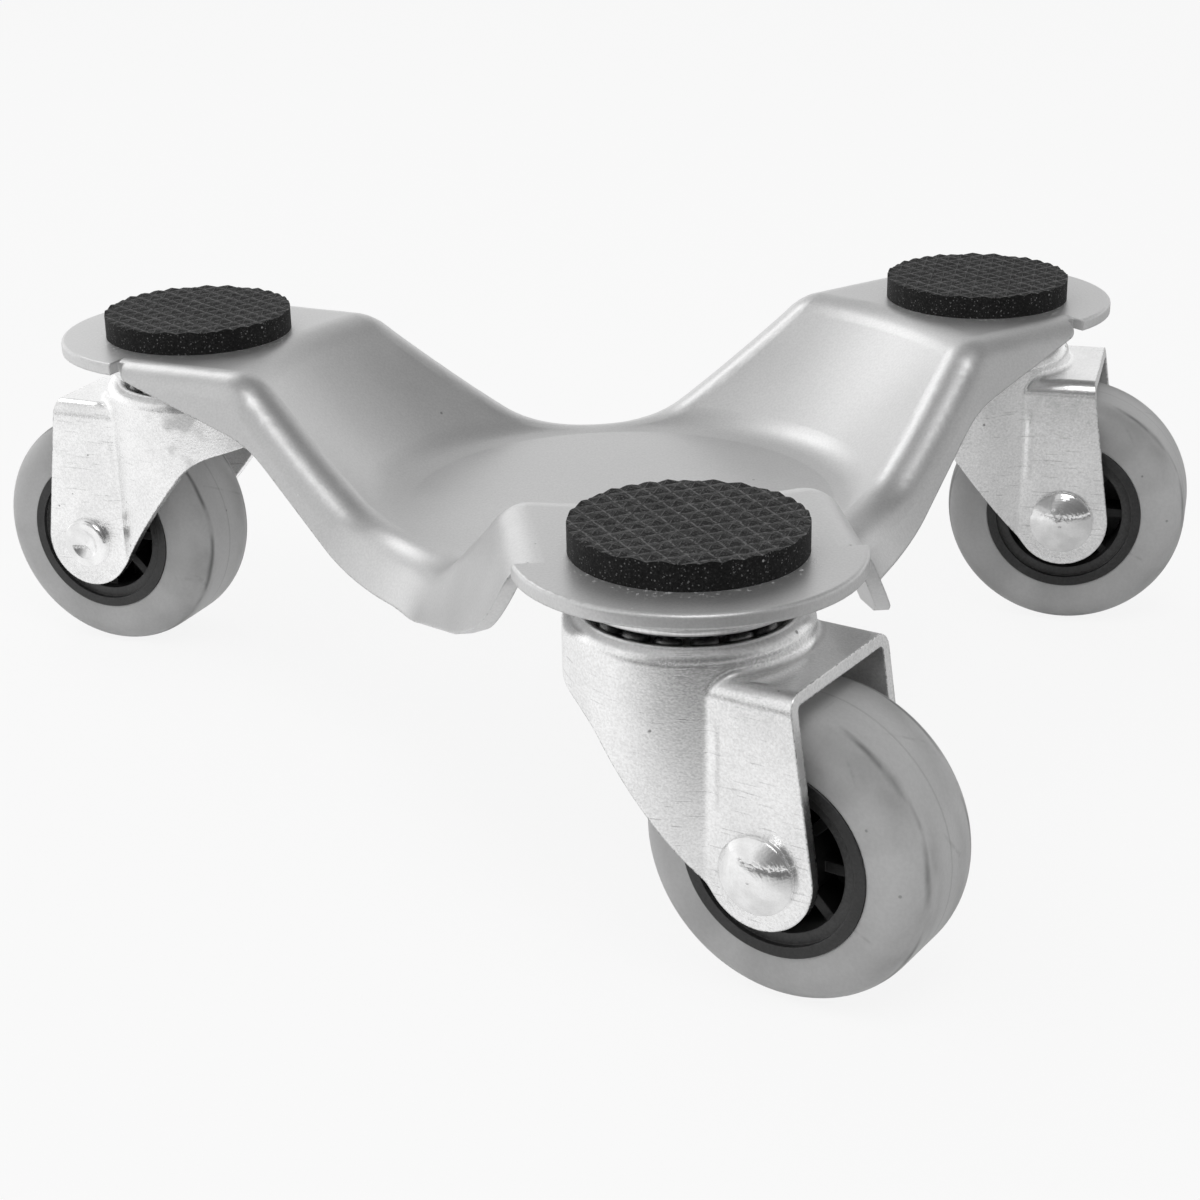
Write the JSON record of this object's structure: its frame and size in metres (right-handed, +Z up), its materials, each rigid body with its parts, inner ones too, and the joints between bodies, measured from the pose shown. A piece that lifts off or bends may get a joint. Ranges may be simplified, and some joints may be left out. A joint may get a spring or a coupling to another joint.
{
  "type": "furniture roller",
  "caption": "Low pressed-steel furniture roller: dished frame with spread arms, a rubber pad on each arm and a ball-bearing swivel castor with a rubber-tyred wheel under it",
  "frame": {"origin": "on the floor, under the axis that the three arms share", "axes": "+Z up; the front arm points along -Y, the other two a third of a turn to each side"},
  "size_m": [0.2533, 0.2078, 0.0737],
  "materials": {
    "frame_paint": "satin silver-grey paint",
    "pad_rubber": "black sponge rubber with moulded pyramids",
    "race_steel": "zinc plated",
    "ball_steel": "polished",
    "fork_zinc": "bright zinc plate with mottling and fine scratches",
    "rivet_steel": "zinc plated",
    "hub_plastic": "black",
    "tyre_rubber": "grey rubber"
  },
  "bodies": {
    "frame": {"pressed_frame": "frame_paint", "pad_front": "pad_rubber", "upper_race_front": "race_steel", "lower_race_front": "race_steel", "kingpin_front": "rivet_steel", "pad_right": "pad_rubber", "upper_race_right": "race_steel", "lower_race_right": "race_steel", "kingpin_right": "rivet_steel", "pad_left": "pad_rubber", "upper_race_left": "race_steel", "lower_race_left": "race_steel", "kingpin_left": "rivet_steel"},
    "swivel_front": {"fork_front": "fork_zinc", "axle_front": "rivet_steel", "axle_sleeve_front": "rivet_steel"},
    "wheel_front": {"hub_front": "hub_plastic", "tyre_front": "tyre_rubber"},
    "balls_front": {"upper_balls_front": "ball_steel", "lower_balls_front": "ball_steel"},
    "swivel_right": {"fork_right": "fork_zinc", "axle_right": "rivet_steel", "axle_sleeve_right": "rivet_steel"},
    "wheel_right": {"hub_right": "hub_plastic", "tyre_right": "tyre_rubber"},
    "balls_right": {"upper_balls_right": "ball_steel", "lower_balls_right": "ball_steel"},
    "swivel_left": {"fork_left": "fork_zinc", "axle_left": "rivet_steel", "axle_sleeve_left": "rivet_steel"},
    "wheel_left": {"hub_left": "hub_plastic", "tyre_left": "tyre_rubber"},
    "balls_left": {"upper_balls_left": "ball_steel", "lower_balls_left": "ball_steel"}
  },
  "joints": [
    {"name": "front_swivel", "type": "hinge", "parent": "frame", "child": "swivel_front", "pos_m": [0, -0.0945, 0.06], "axis": [0, 0, 1], "continuous": true},
    {"name": "front_wheel", "type": "hinge", "parent": "swivel_front", "child": "wheel_front", "pos_m": [0.01661, -0.10815, 0.025], "axis": [0.6347, 0.7727, 0], "continuous": true},
    {"name": "front_balls", "type": "hinge", "parent": "frame", "child": "balls_front", "pos_m": [0, -0.0945, 0.062], "axis": [0, 0, 1], "continuous": true},
    {"name": "right_swivel", "type": "hinge", "parent": "frame", "child": "swivel_right", "pos_m": [0.08184, 0.04725, 0.06], "axis": [0, 0, 1], "continuous": true},
    {"name": "right_wheel", "type": "hinge", "parent": "swivel_right", "child": "wheel_right", "pos_m": [0.10188, 0.03948, 0.025], "axis": [0.3616, 0.9323, 0], "continuous": true},
    {"name": "right_balls", "type": "hinge", "parent": "frame", "child": "balls_right", "pos_m": [0.08184, 0.04725, 0.062], "axis": [0, 0, 1], "continuous": true},
    {"name": "left_swivel", "type": "hinge", "parent": "frame", "child": "swivel_left", "pos_m": [-0.08184, 0.04725, 0.06], "axis": [0, 0, 1], "continuous": true},
    {"name": "left_wheel", "type": "hinge", "parent": "swivel_left", "child": "wheel_left", "pos_m": [-0.10063, 0.05771, 0.025], "axis": [-0.4863, -0.8738, 0], "continuous": true},
    {"name": "left_balls", "type": "hinge", "parent": "frame", "child": "balls_left", "pos_m": [-0.08184, 0.04725, 0.062], "axis": [0, 0, 1], "continuous": true}
  ],
  "couplings": [
    {"joint": "front_balls", "follows": "front_swivel", "ratio": 0.5},
    {"joint": "right_balls", "follows": "right_swivel", "ratio": 0.5},
    {"joint": "left_balls", "follows": "left_swivel", "ratio": 0.5}
  ]
}
